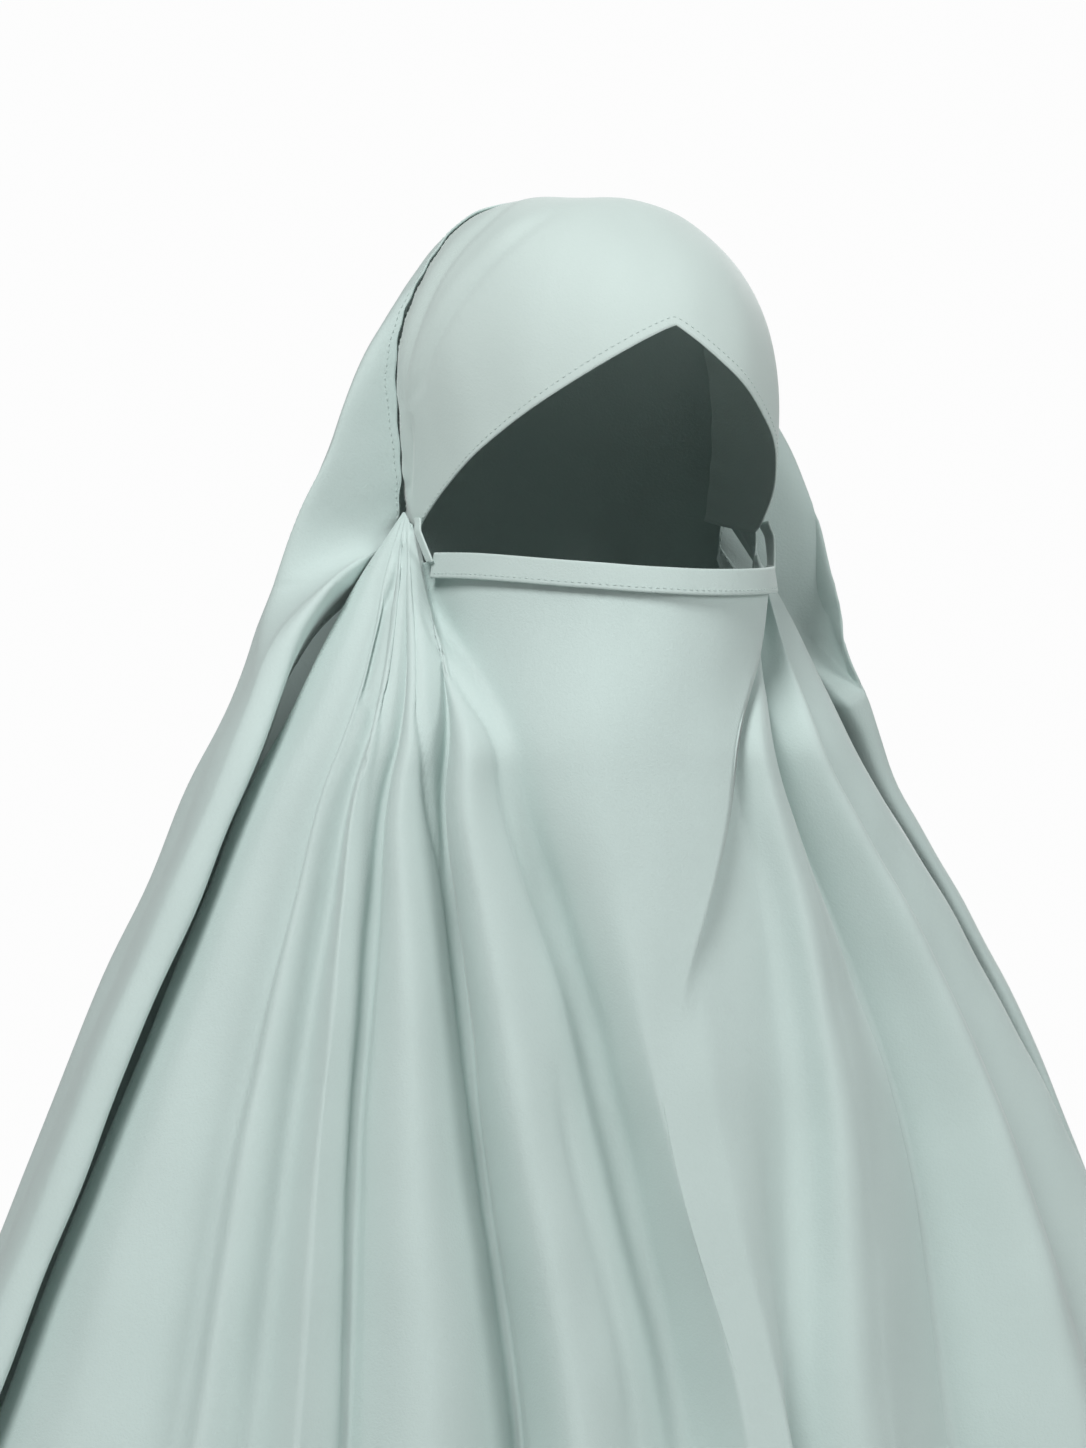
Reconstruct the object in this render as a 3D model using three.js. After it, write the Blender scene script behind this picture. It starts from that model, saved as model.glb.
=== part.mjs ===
import * as THREE from 'three';

// A khimar veil in its worn form: hood, nose band, front panel and outer veil.
// Millimetres, +Z up, the face opening looks along -Y, the veil's own left is +X.
// The origin is the inside of the hood at the crown.

// The hollow inside the hood
const HEAD_WIDTH = 152;
const HEAD_DEPTH = 196;
const CROWN_RISE = 95;
const JAW_DROP = 190;
const HEAD_ROUND = 2.2;

// The drape
const VEIL_DROP = 1000;
const PANEL_DROP = 945;
const NECK_LENGTH = 145;
const NECK_FALL = CROWN_RISE + NECK_LENGTH;
const HEM_WIDTH = 872;
const HEM_FRONT = 192;
const HEM_BACK = 262;
const FOLD_DEPTH = 36;
const ROLL_INSET = 15;
const ROLL_START = 1.023;
const ROLL_SPAN = 0.026;

// The cloth and how its layers lie over one another
const CLOTH = 1.4;
const LAYER_GAP = 0.85;
const SEAM_LAP = 6;

// The face opening and the band under it
const FACE_PEAK = 59;
const FACE_FALL = 82;
const CORNER_RIGHT = 95;
const CORNER_LEFT = 84;
const CURVE_RIGHT = 1.2;
const CURVE_LEFT = 1.05;
const FACE_TURN = -2;
const CORNER_FALL = FACE_PEAK + FACE_FALL;
const BAND_BELOW = 13;
const BAND_TOP = CORNER_FALL + BAND_BELOW;
const BAND_SAG = 6;
const BAND_TILT = 2;
const BAND_HEIGHT = 10.5;
const BAND_FLARE = 3;
const BAND_SHORT = 10;
const TAB_WIDTH = 4;
const HEM_STRIP = 4;

// The seam between hood and veil, an arch behind the crown; FULL is how far it stands off
const SEAM_BACK = 28;
const GATHER_RISE = 7;
const GATHER_FALL = CORNER_FALL - GATHER_RISE;
const SEAM_END = (Math.acos((CROWN_RISE - GATHER_FALL) / CROWN_RISE) * 180) / Math.PI;
const FULL_RIGHT = 8;
const FULL_LEFT = 1.5;
const FULL_FROM = 36;
const FULL_TO = 60;

const MESH_ROWS = { veilCap: 8, veilFall: 13, panel: 17, hood: 8 };
const HOOD_STEPS = 32;
const BAND_STEPS = 24;
const TAB_STEPS = 6;
const STRIP_STEPS = 2;
const CAP_EASE = 1.5;
const VEIL_EASE = 1.25;
const PANEL_EASE = 1.3;
const HEM_START_ROW = 2;

// How the panel leaves the band and gathers at the temples
const PANEL_TUCK = 4;
const TUCK_SHORT = 1;
const PANEL_RISE = 4;
const GATHER_SPAN = 9;
const TAB_SHORT = 2.5;
const TAB_SPREAD = 3;
const TAB_LIFT = 1;
const TAB_RAMP = 3;
const CLEAR_OF_HOOD = 14;
const VEIL_OVER_HOOD = SEAM_END - CLEAR_OF_HOOD;
const LIFT_START = 2 * SEAM_LAP;
const LIFT_REACH = 60;
const FACE_PULL = 0.05;
const PULL_RIGHT = -3;
const PULL_LEFT = 4;
const PULL_SPREAD = 8;
const GATHER_PULL = 1.3;

const LAYER_STEP = CLOTH + LAYER_GAP;
const INNER_LAYER = CLOTH / 2;
const MIDDLE_LAYER = INNER_LAYER + LAYER_STEP;
const OUTER_LAYER = MIDDLE_LAYER + LAYER_STEP;

// Girth of the drape by drop. Drops are shares of the whole fall, see dropAt, half widths of HEM_WIDTH / 2,
// front reach of HEM_FRONT, back reach of HEM_BACK, and lean is a share of HEAD_WIDTH.
const GIRTH = {
  drop: [0.0, 0.033, 0.06, 0.1, 0.135, 0.165, 0.19, 0.24, 0.3, 0.35, 0.4, 0.54, 0.7, 0.85, 1.0],
  veil: [0.08, 0.165, 0.207, 0.256, 0.284, 0.294, 0.307, 0.362, 0.443, 0.51, 0.568, 0.715, 0.83, 0.925, 1.0],
  panel: [0.1, 0.14, 0.15, 0.17, 0.19, 0.21, 0.235, 0.31, 0.39, 0.45, 0.51, 0.65, 0.755, 0.845, 0.92],
  front: [0.3, 0.35, 0.4, 0.45, 0.5, 0.52, 0.53, 0.54, 0.565, 0.585, 0.605, 0.667, 0.78, 0.9, 1.0],
  back: [0.2, 0.3, 0.36, 0.4, 0.415, 0.425, 0.435, 0.46, 0.5, 0.535, 0.57, 0.68, 0.8, 0.905, 1.0],
  lean: [0, 0, 0, 0.01, -0.02, -0.065, -0.09, -0.09, -0.045, -0.015, 0.01, 0.04, 0.04, 0.04, 0.04],
  folds: [0, 0, 0, 0.04, 0.1, 0.25, 0.4, 0.6, 0.8, 0.9, 1, 1.15, 1.25, 1.3, 1.35],
};
const NECK_DROP = 0.24;
const BEARING_DROPS = [NECK_DROP, 0.36, 0.54, 1.0];
const RING_DROP = 0.165;
const RING_DROPS = [RING_DROP, 0.26, 0.54, 1.0];
const TENT_BLEND = 6;
const FADE_LENGTH = 0.1;

// Lines that the front panel's cloth follows, from its own right edge to its left.
// top is where the line leaves the band or gather, as a share of the corner on its side;
// neck to hem are its bearings in degrees; depth is a share of FOLD_DEPTH; crisp folds are
// pressed sharp; last is the drop where a fold has gone flat; steps is the mesh to the next line.
const PANEL_LINES = {
  rightEdge: { top: -1.1, neck: -90, chest: -90, waist: -90, hem: -90 },
  rightSide: { top: -1.093, neck: -78, chest: -77, waist: -72, hem: -70 },
  valleyA: { top: -1.085, neck: -68, chest: -64, waist: -57, hem: -56, depth: 0.35 },
  ridgeA: { top: -1.078, neck: -65, chest: -59, waist: -51.5, hem: -49, depth: 0.1 },
  valleyB: { top: -1.071, neck: -61, chest: -54.5, waist: -47, hem: -43, depth: 0.4 },
  ridgeC: { top: -1.063, neck: -57, chest: -48, waist: -40, hem: -35, crisp: 1 },
  valleyD: { top: -1.055, neck: -53, chest: -45, waist: -36, hem: -30, depth: 0.45, crisp: 1 },
  ridgeE: { top: -1.045, neck: -48, chest: -36.5, waist: -27, hem: -21, steps: 3 },
  valleyE: { top: -1.032, neck: -43, chest: -30, waist: -18, hem: -13, depth: 0.9, crisp: 1 },
  ridgeF: { top: -0.989, neck: -36, chest: -23, waist: -13, hem: -9, steps: 3 },
  valleyG: { top: -0.916, neck: -28, chest: -12, waist: -2, hem: -1, depth: 0.7, steps: 3 },
  faceRidge: { top: -0.211, neck: -9, chest: -6, waist: 2.4, hem: 4, steps: 3 },
  faceFold: { top: 0.653, neck: 16.5, chest: -2.5, waist: 4, hem: 6, depth: 0.1, crisp: 1, last: 0.37 },
  faceTuck: { top: 0.705, neck: 14, chest: 1, waist: 6, hem: 7.5, depth: 0.4, last: 0.37 },
  valleyH: { top: 0.779, neck: 18, chest: 14, waist: 8, hem: 9, depth: 0.45 },
  ridgeI: { top: 0.863, neck: 23, chest: 19, waist: 13.5, hem: 14, depth: 0.05 },
  creaseJ: { top: 0.95, neck: 27.5, chest: 23.5, waist: 18, hem: 19, depth: 0.2, crisp: 1 },
  valleyK: { top: 1.02, neck: 36, chest: 40, waist: 33, hem: 32, depth: 1, crisp: 1 },
  ridgeL: { top: 1.09, neck: 41, chest: 46, waist: 42, hem: 41, steps: 3 },
  valleyM: { top: 1.15, neck: 50, chest: 60, waist: 57, hem: 55, depth: 0.5, steps: 3 },
  leftSide: { top: 1.195, neck: 66, chest: 77, waist: 75, hem: 72, steps: 3 },
  leftEdge: { top: 1.22, neck: 82, chest: 88, waist: 90, hem: 90 },
};

// Lines that the outer veil follows, from its right front edge round the back to the left.
// top is the place on the seam arch as a share of SEAM_END, and the bearings run past 180 degrees
// on the left; settle is how far below the seam the line has left the hood's form, a share of
// CROWN_RISE; late is 0 where it leaves at once and 1 where it starts slowly; ring is the drop
// where it turns straight down.
const VEIL_LINES = {
  rightEdge: { top: -1.061, neck: -106, chest: -99, waist: -98, hem: -98, depth: 0.2, settle: 0.68 },
  rightFlap: { top: -1.049, neck: -98, chest: -88, waist: -86, hem: -86, settle: 0.68 },
  rightTurn: { top: -1.037, neck: -91, chest: -79, waist: -79, hem: -79, settle: 0.68 },
  rightRoll: { top: -1.023, neck: -95, chest: -83, waist: -83, hem: -83, settle: 0.68 },
  rightDip: { top: -0.982, neck: -105, chest: -97, waist: -98, hem: -98, depth: 0.15, settle: 0.5 },
  rightBrow: { top: -0.912, neck: -115, chest: -112, waist: -113, hem: -112, settle: 0.3 },
  valleyN: { top: -0.789, neck: -127, chest: -127, waist: -127, hem: -126, depth: 0.7, settle: 0.2 },
  ridgeN: { top: -0.667, neck: -139, chest: -139, waist: -139, hem: -139, steps: 3 },
  valleyO: { top: -0.526, neck: -151, chest: -151, waist: -151, hem: -151, depth: 0.85, steps: 3 },
  ridgeO: { top: -0.368, neck: -163, chest: -163, waist: -163, hem: -163, steps: 3 },
  valleyP: { top: -0.193, neck: -174, chest: -174, waist: -174, hem: -174, depth: 0.9, steps: 3 },
  ridgeP: { top: 0, neck: -186, chest: -186, waist: -186, hem: -186, steps: 3 },
  valleyQ: { top: 0.193, neck: -197, chest: -197, waist: -197, hem: -197, depth: 0.8, steps: 3 },
  ridgeQ: { top: 0.368, neck: -212, chest: -210, waist: -209, hem: -209, settle: 0.2, steps: 3 },
  valleyR: {
    top: 0.526, neck: -230, chest: -223, waist: -221, hem: -221,
    depth: 0.9, settle: 0.2, steps: 3,
  },
  ridgeR: { top: 0.667, neck: -247, chest: -237, waist: -233, hem: -233, settle: 0.3 },
  valleyS: { top: 0.789, neck: -262, chest: -250, waist: -245, hem: -245, depth: 0.5, settle: 0.3 },
  leftBrow: {
    top: 0.912, neck: -276, chest: -259, waist: -252, hem: -252,
    settle: 0.33, late: 0.1, ring: 0.175,
  },
  leftDip: {
    top: 0.982, neck: -284, chest: -264, waist: -256, hem: -256,
    depth: 0.15, settle: 0.45, late: 0.3, ring: 0.19,
  },
  leftRoll: {
    top: 1.023, neck: -289, chest: -268, waist: -258, hem: -258,
    settle: 0.68, late: 0.5, ring: 0.21,
  },
  leftTurn: {
    top: 1.037, neck: -292, chest: -271, waist: -261, hem: -261,
    settle: 0.78, late: 0.6, ring: 0.215,
  },
  leftFlap: {
    top: 1.049, neck: -285, chest: -264, waist: -254, hem: -254,
    settle: 0.75, late: 0.6, ring: 0.215,
  },
  leftEdge: {
    top: 1.061, neck: -278, chest: -256, waist: -245, hem: -245,
    depth: 0.1, settle: 0.75, late: 0.6, ring: 0.215,
  },
};

// What a line has unless its row says otherwise: a soft ridge that goes all the way to the hem.
const PLAIN_LINE = { depth: 0, crisp: 0, last: 2, settle: 0.13, late: 0, ring: RING_DROP, steps: 2 };
const lineRows = (table) => Object.values(table).map((row) => ({ ...PLAIN_LINE, ...row }));
const panelLines = lineRows(PANEL_LINES);
const veilLines = lineRows(VEIL_LINES);

const steps = (count) => Array.from({ length: count + 1 }, (_, n) => n / count);
const radians = (degrees) => (degrees * Math.PI) / 180;
const mix = (a, b, share) => a + (b - a) * share;
const mixPoints = (p, q, share) => p.map((value, axis) => mix(value, q[axis], share));

function ease(share) {
  const held = Math.min(Math.max(share, 0), 1);
  return held * held * (3 - 2 * held);
}

// A quick start that slows to a stop, as cloth springs out from a seam.
function spring(share) {
  const held = Math.min(Math.max(share, 0), 1);
  return held * (2 - held);
}

// The larger of two lengths, with the corner between them rounded over a blend length.
function roundedMax(a, b, blend) {
  const near = Math.max(blend - Math.abs(a - b), 0);
  return Math.max(a, b) + (near * near) / (4 * blend);
}

// Slope at a row of a smooth curve that never swings past its rows.
function calmSlope(before, after) {
  return before * after > 0 ? (2 * before * after) / (before + after) : 0;
}

function hermite(a, b, slopeA, slopeB, t) {
  const turn = t * t * (3 - 2 * t);
  const leave = t * (1 - t) * (1 - t);
  const arrive = t * t * (1 - t);
  return mix(a, b, turn) + leave * slopeA - arrive * slopeB;
}

// A value read from a column against the drops beside it.
function follow(places, values, place) {
  const last = places.length - 1;
  const held = Math.min(Math.max(place, places[0]), places[last]);
  let row = 0;
  while (row < last - 1 && held > places[row + 1]) row += 1;
  const rise = (n) => (values[n + 1] - values[n]) / (places[n + 1] - places[n]);
  const slopeA = row > 0 ? calmSlope(rise(row - 1), rise(row)) : rise(row);
  const slopeB = row + 1 < last ? calmSlope(rise(row), rise(row + 1)) : rise(row);
  const span = places[row + 1] - places[row];
  const t = (held - places[row]) / span;
  return hermite(values[row], values[row + 1], slopeA * span, slopeB * span, t);
}

// The share of the fall at a height: down to the neck it follows the head, below it the hem.
function dropAt(z) {
  if (z > -NECK_FALL) return (-z / NECK_FALL) * NECK_DROP;
  return mix(NECK_DROP, 1, (-z - NECK_FALL) / (VEIL_DROP - NECK_FALL));
}

function heightAt(drop) {
  if (drop < NECK_DROP) return (-drop / NECK_DROP) * NECK_FALL;
  return -mix(NECK_FALL, VEIL_DROP, (drop - NECK_DROP) / (1 - NECK_DROP));
}

const girth = (column, drop) => follow(GIRTH.drop, GIRTH[column], drop);

// How much of the head's full girth is left at a height.
function headShare(z, offset) {
  const reach = z > -CROWN_RISE ? CROWN_RISE : JAW_DROP;
  const share = Math.min(Math.abs(z + CROWN_RISE) / (reach + offset), 1);
  return Math.pow(1 - Math.pow(share, HEAD_ROUND), 1 / HEAD_ROUND);
}

const headHalf = (offset) => [HEAD_WIDTH / 2 + offset, HEAD_DEPTH / 2 + offset];

function headAt(bearing, z, offset) {
  const [halfWidth, halfDepth] = headHalf(offset);
  const share = headShare(z, offset);
  const turn = radians(bearing);
  return [halfWidth * share * Math.sin(turn), -halfDepth * share * Math.cos(turn), z];
}

// Where a ray from the middle of the head comes through a layer over it.
function headAlong(ray, offset) {
  const [halfWidth, halfDepth] = headHalf(offset);
  const reach = (ray[2] > 0 ? CROWN_RISE : JAW_DROP) + offset;
  const level = Math.hypot(ray[0] / halfWidth, ray[1] / halfDepth) ** HEAD_ROUND;
  const size = (level + Math.abs(ray[2] / reach) ** HEAD_ROUND) ** (-1 / HEAD_ROUND);
  return [ray[0] * size, ray[1] * size, ray[2] * size - CROWN_RISE];
}

function unit(v) {
  const size = Math.hypot(...v);
  return v.map((value) => value / size);
}

const dot = (p, q) => p[0] * q[0] + p[1] * q[1] + p[2] * q[2];
const rayTo = (point) => unit([point[0], point[1], point[2] + CROWN_RISE]);
const raySweep = (from, to) => Math.acos(Math.min(dot(from, to), 1));

function swing(from, to, share) {
  const angle = raySweep(from, to);
  const near = Math.sin((1 - share) * angle) / Math.sin(angle);
  const far = Math.sin(share * angle) / Math.sin(angle);
  return from.map((value, axis) => value * near + to[axis] * far);
}

// The tent of cloth below the head; column names the layer and sink draws a line inwards.
function tentAt(column, bearing, z, offset, sink) {
  const drop = dropAt(z);
  const turn = radians(bearing);
  const share = headShare(z, offset);
  const [headWide, headDeep] = headHalf(offset).map((half) => half * share);
  const reach = Math.cos(turn) > 0 ? girth('front', drop) * HEM_FRONT : girth('back', drop) * HEM_BACK;
  const wide = roundedMax(headWide, (girth(column, drop) * HEM_WIDTH) / 2, TENT_BLEND) - sink;
  const deep = roundedMax(headDeep, reach, TENT_BLEND) - sink;
  const lean = girth('lean', drop) * HEAD_WIDTH;
  return [lean + wide * Math.sin(turn), -deep * Math.cos(turn), z];
}

const foldSink = (line, z) => line.depth * FOLD_DEPTH * girth('folds', dropAt(z));

function bearingAt(line, z, drops) {
  return follow(drops, [line.neck, line.chest, line.waist, line.hem], dropAt(z));
}

// A line between two neighbours, rounded at soft folds and cornered at crisp ones.
function lineBetween(lines, index, t) {
  const last = lines.length - 1;
  const between = {};
  Object.keys(lines[index]).forEach((key) => {
    const step = (n) => lines[n + 1][key] - lines[n][key];
    const own = step(index);
    const soft = (n) => calmSlope(step(n - 1), step(n));
    const slopeAt = (n) => (n > 0 && n < last ? mix(soft(n), own, lines[n].crisp) : own);
    const [near, far] = [lines[index][key], lines[index + 1][key]];
    between[key] = hermite(near, far, slopeAt(index), slopeAt(index + 1), t);
  });
  return between;
}

// How much of a fold is left at a drop; a line's last is the drop where it has gone flat.
function linesAtDrop(lines, drop) {
  return lines.map((line) => {
    const left = 1 - ease((drop - line.last) / FADE_LENGTH + 1);
    return { ...line, depth: line.depth * left, crisp: line.crisp * left };
  });
}

// A grid of points, one column for each step across the lines and one row for each share down.
function gridFromLines(lines, rows, dropAt, pointAt) {
  const columns = [];
  lines.slice(0, -1).forEach((line, index) => {
    for (let step = 0; step < line.steps; step += 1) columns.push([index, step / line.steps]);
  });
  columns.push([lines.length - 2, 1]);
  const grid = columns.map(() => []);
  steps(rows - 1).forEach((share) => {
    const lying = linesAtDrop(lines, dropAt(share));
    columns.forEach(([index, t], n) => grid[n].push(pointAt(lineBetween(lying, index, t), share)));
  });
  return grid;
}

function gridNormals(grid) {
  const lastColumn = grid.length - 1;
  const lastRow = grid[0].length - 1;
  const apart = (p, q) => p.map((value, axis) => q[axis] - value);
  return grid.map((column, i) => column.map((point, j) => {
    const across = apart(grid[Math.max(i - 1, 0)][j], grid[Math.min(i + 1, lastColumn)][j]);
    const down = apart(column[Math.max(j - 1, 0)], column[Math.min(j + 1, lastRow)]);
    return unit([
      across[1] * down[2] - across[2] * down[1],
      across[2] * down[0] - across[0] * down[2],
      across[0] * down[1] - across[1] * down[0],
    ]);
  }));
}

function liftGrid(grid, lift) {
  const normals = gridNormals(grid);
  return grid.map((column, i) => column.map((point, j) => (
    point.map((value, axis) => value + normals[i][j][axis] * lift)
  )));
}

// One closed sheet of cloth about a grid of points; facing is 1 where the grid's own
// normals point out of the garment and -1 where they point in.
function clothFromGrid(grid, facing) {
  const columns = grid.length;
  const rows = grid[0].length;
  const layers = [liftGrid(grid, (facing * CLOTH) / 2), liftGrid(grid, (-facing * CLOTH) / 2)];
  const place = (layer, i, j) => (layer * columns + i) * rows + j;
  const faces = [];
  const quad = (a, b, c, d) => faces.push(...(facing > 0 ? [a, b, c, a, c, d] : [a, c, b, a, d, c]));
  for (let i = 0; i + 1 < columns; i += 1) {
    for (let j = 0; j + 1 < rows; j += 1) {
      quad(place(0, i, j), place(0, i + 1, j), place(0, i + 1, j + 1), place(0, i, j + 1));
      quad(place(1, i, j), place(1, i, j + 1), place(1, i + 1, j + 1), place(1, i + 1, j));
    }
  }
  const rim = (i, j, m, n) => quad(place(0, m, n), place(0, i, j), place(1, i, j), place(1, m, n));
  for (let i = 0; i + 1 < columns; i += 1) {
    rim(i, 0, i + 1, 0);
    rim(i + 1, rows - 1, i, rows - 1);
  }
  for (let j = 0; j + 1 < rows; j += 1) {
    rim(0, j + 1, 0, j);
    rim(columns - 1, j, columns - 1, j + 1);
  }
  const geometry = new THREE.BufferGeometry();
  geometry.setAttribute('position', new THREE.Float32BufferAttribute(layers.flat(3), 3));
  geometry.setIndex(faces);
  geometry.computeVertexNormals();
  return geometry;
}

// Hood: a smooth cap between the pointed face edge and the seam over the head.
const cornerOf = (side) => (side < 0 ? CORNER_RIGHT : CORNER_LEFT);

function faceEdgeZ(bearing) {
  const curve = bearing < 0 ? CURVE_RIGHT : CURVE_LEFT;
  return -FACE_PEAK - FACE_FALL * (Math.abs(bearing) / cornerOf(bearing)) ** curve;
}

// The bearing at a share of the way across the opening, stopping short of its corners.
function acrossFace(share, short) {
  const side = 2 * share - 1;
  return side * (cornerOf(side) - short);
}

// How far the cloth stands off the head along the seam, most between crown and temple.
function seamLift(place) {
  const full = place < 0 ? FULL_RIGHT : FULL_LEFT;
  const round = Math.abs(place);
  return full * ease(round / FULL_FROM) * (1 - ease((round - FULL_TO) / (SEAM_END - FULL_TO)));
}

function seamRay(place, shift) {
  const turn = radians(place);
  return unit([(HEAD_WIDTH / 2) * Math.sin(turn), SEAM_BACK + shift, CROWN_RISE * Math.cos(turn)]);
}

function hoodGrid() {
  return steps(HOOD_STEPS).map((share) => {
    const bearing = acrossFace(share, 0);
    const turn = FACE_TURN * Math.cos(radians(bearing));
    const edge = rayTo(headAt(bearing + turn, faceEdgeZ(bearing), INNER_LAYER));
    const place = mix(-SEAM_END, SEAM_END, share);
    const back = seamRay(place, SEAM_LAP / 2);
    return steps(MESH_ROWS.hood).map((row) => (
      headAlong(swing(edge, back, row), INNER_LAYER + seamLift(place) * ease(row))
    ));
  });
}

// Nose band: a folded strip round the face under the opening.
function bandTopZ(bearing) {
  const sag = BAND_SAG * Math.cos(radians(bearing)) ** 2;
  return -BAND_TOP - sag - BAND_TILT * Math.sin(radians(bearing));
}

function bandGrid() {
  return steps(BAND_STEPS).map((share) => {
    const bearing = acrossFace(share, BAND_SHORT);
    return steps(STRIP_STEPS).map((row) => (
      headAt(bearing, bandTopZ(bearing) - row * BAND_HEIGHT, MIDDLE_LAYER + row * BAND_FLARE)
    ));
  });
}

// Side tab: a narrow strip from the end of the band up over the corner of the hood.
function tabGrid(side) {
  const corner = cornerOf(side);
  const low = bandTopZ(side * (corner - BAND_SHORT)) - TAB_WIDTH;
  const high = TAB_WIDTH - CORNER_FALL;
  return steps(STRIP_STEPS).map((share) => steps(TAB_STEPS).map((row) => {
    const middle = side * (corner - mix(TAB_SHORT, BAND_SHORT, row));
    const bearing = middle + mix(-TAB_SPREAD, TAB_SPREAD, share) / 2;
    const layer = mix(OUTER_LAYER + TAB_LIFT, MIDDLE_LAYER, ease((1 - row) * TAB_RAMP - TAB_RAMP + 1));
    return headAt(bearing, mix(high, low, row), layer);
  }));
}

// Front panel: tucked under the band, gathered at both temples and hanging in folds.
function panelTop(bearing) {
  const past = Math.abs(bearing) - cornerOf(bearing);
  const rise = ease((past + TUCK_SHORT) / PANEL_RISE);
  const gather = mix(-CORNER_FALL, -GATHER_FALL, ease(past / GATHER_SPAN));
  const z = mix(bandTopZ(bearing) - PANEL_TUCK, gather, rise);
  return headAt(bearing, z, mix(INNER_LAYER, MIDDLE_LAYER, rise));
}

function panelPoint(line, share) {
  const fall = panelFall(share);
  const start = line.top * cornerOf(line.top);
  const top = panelTop(start);
  const z = mix(top[2], -PANEL_DROP, fall);
  const neckZ = -NECK_FALL;
  const hang = (height) => {
    const bearing = bearingAt(line, height, BEARING_DROPS);
    return tentAt('panel', bearing, height, INNER_LAYER, foldSink(line, height));
  };
  if (z <= neckZ) return hang(z);
  const neck = hang(neckZ);
  const below = hang(neckZ - 1);
  const span = top[2] - neckZ;
  const t = (top[2] - z) / span;
  const past = Math.abs(start) - cornerOf(start);
  const pulled = ease((past - (start < 0 ? PULL_RIGHT : PULL_LEFT)) / PULL_SPREAD);
  const leave = mix(FACE_PULL, GATHER_PULL, pulled);
  return [0, 1].map((axis) => {
    const arrive = (below[axis] - neck[axis]) * span;
    return hermite(top[axis], neck[axis], (neck[axis] - top[axis]) * leave, arrive, t);
  }).concat(z);
}

const panelFall = (share) => share ** PANEL_EASE;
const panelDrop = (share) => dropAt(-mix(BAND_TOP, PANEL_DROP, panelFall(share)));
const panelGrid = () => gridFromLines(panelLines, MESH_ROWS.panel, panelDrop, panelPoint);

// Side hem: a narrow turned strip down one edge of the front panel.
function sideHemGrid(side) {
  const first = side < 0 ? 0 : panelLines.length - 2;
  const rows = steps(MESH_ROWS.panel - 1).slice(HEM_START_ROW);
  const grid = steps(STRIP_STEPS).map((share) => rows.map((row) => {
    const lying = linesAtDrop(panelLines, panelDrop(row));
    const at = (t) => panelPoint(lineBetween(lying, first, t), row);
    const width = Math.hypot(...at(0).map((value, axis) => at(1)[axis] - value));
    const reach = Math.min(HEM_STRIP / width, 1);
    return at(side < 0 ? share * reach : 1 - (1 - share) * reach);
  }));
  return liftGrid(grid, -LAYER_STEP);
}

// Outer veil: from the seam over the head down the back and round to both front edges.
const veilRows = MESH_ROWS.veilCap + MESH_ROWS.veilFall;
const capShare = MESH_ROWS.veilCap / (veilRows - 1);

function veilPoint(line, share) {
  const ringZ = heightAt(line.ring);
  const ring = headAt(bearingAt(line, ringZ, RING_DROPS), ringZ, OUTER_LAYER);
  const place = line.top * SEAM_END;
  const seam = seamRay(place, -SEAM_LAP / 2);
  const capLength = raySweep(seam, rayTo(ring)) * CROWN_RISE;
  let head = null;
  let bearing = 0;
  let travelled = 0;
  if (share < capShare) {
    const down = (share / capShare) ** CAP_EASE;
    travelled = capLength * down;
    head = headAlong(swing(seam, rayTo(ring), down), veilLayer(place, travelled));
    bearing = (Math.atan2(head[0] / HEAD_WIDTH, -head[1] / HEAD_DEPTH) * 180) / Math.PI;
  } else {
    const down = ((share - capShare) / (1 - capShare)) ** VEIL_EASE;
    const z = mix(ring[2], -VEIL_DROP, down);
    bearing = bearingAt(line, z, RING_DROPS);
    travelled = capLength + ring[2] - z;
    head = headAt(bearing, z, veilLayer(place, travelled));
  }
  const gone = travelled / (line.settle * CROWN_RISE);
  const settled = mix(spring(gone), ease(gone), line.late);
  const sink = foldSink(line, head[2]) + rollShare(line.top) * ROLL_INSET * settled ** 2;
  const layer = veilLayer(place, travelled);
  return mixPoints(head, tentAt('veil', bearing, head[2], layer, sink), settled);
}

// The front edges of the veil roll under past the end of the seam.
const rollShare = (top) => ease((Math.abs(top) - ROLL_START) / ROLL_SPAN);

function veilLayer(place, travelled) {
  const round = (Math.abs(place) - VEIL_OVER_HOOD) / (SEAM_END - VEIL_OVER_HOOD);
  const lift = seamLift(place) * (1 - ease((travelled - LIFT_START) / LIFT_REACH));
  return mix(MIDDLE_LAYER, OUTER_LAYER, ease(round)) + lift;
}

const veilGrid = () => gridFromLines(veilLines, veilRows, (share) => share, veilPoint);

function piece(name, grid, facing, colour, roughness) {
  const material = new THREE.MeshStandardMaterial({ color: colour, roughness, metalness: 0 });
  const mesh = new THREE.Mesh(clothFromGrid(grid, facing), material);
  mesh.name = name;
  return mesh;
}

function khimarVeil() {
  const group = new THREE.Group();
  group.name = 'khimar_veil';
  group.add(piece('hood_panel', hoodGrid(), 1, '#c8dcd7', 0.72));
  group.add(piece('nose_band', bandGrid(), -1, '#c3d6d2', 0.74));
  group.add(piece('side_tab_right', tabGrid(-1), -1, '#b6cdc8', 0.76));
  group.add(piece('side_tab_left', tabGrid(1), -1, '#b6cdc8', 0.76));
  group.add(piece('front_panel', panelGrid(), -1, '#bed0cc', 0.75));
  group.add(piece('side_hem_right', sideHemGrid(-1), -1, '#bfd2cd', 0.76));
  group.add(piece('side_hem_left', sideHemGrid(1), -1, '#bfd2cd', 0.76));
  group.add(piece('outer_veil', veilGrid(), 1, '#bccfcb', 0.75));
  return group;
}

export default khimarVeil();
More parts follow.
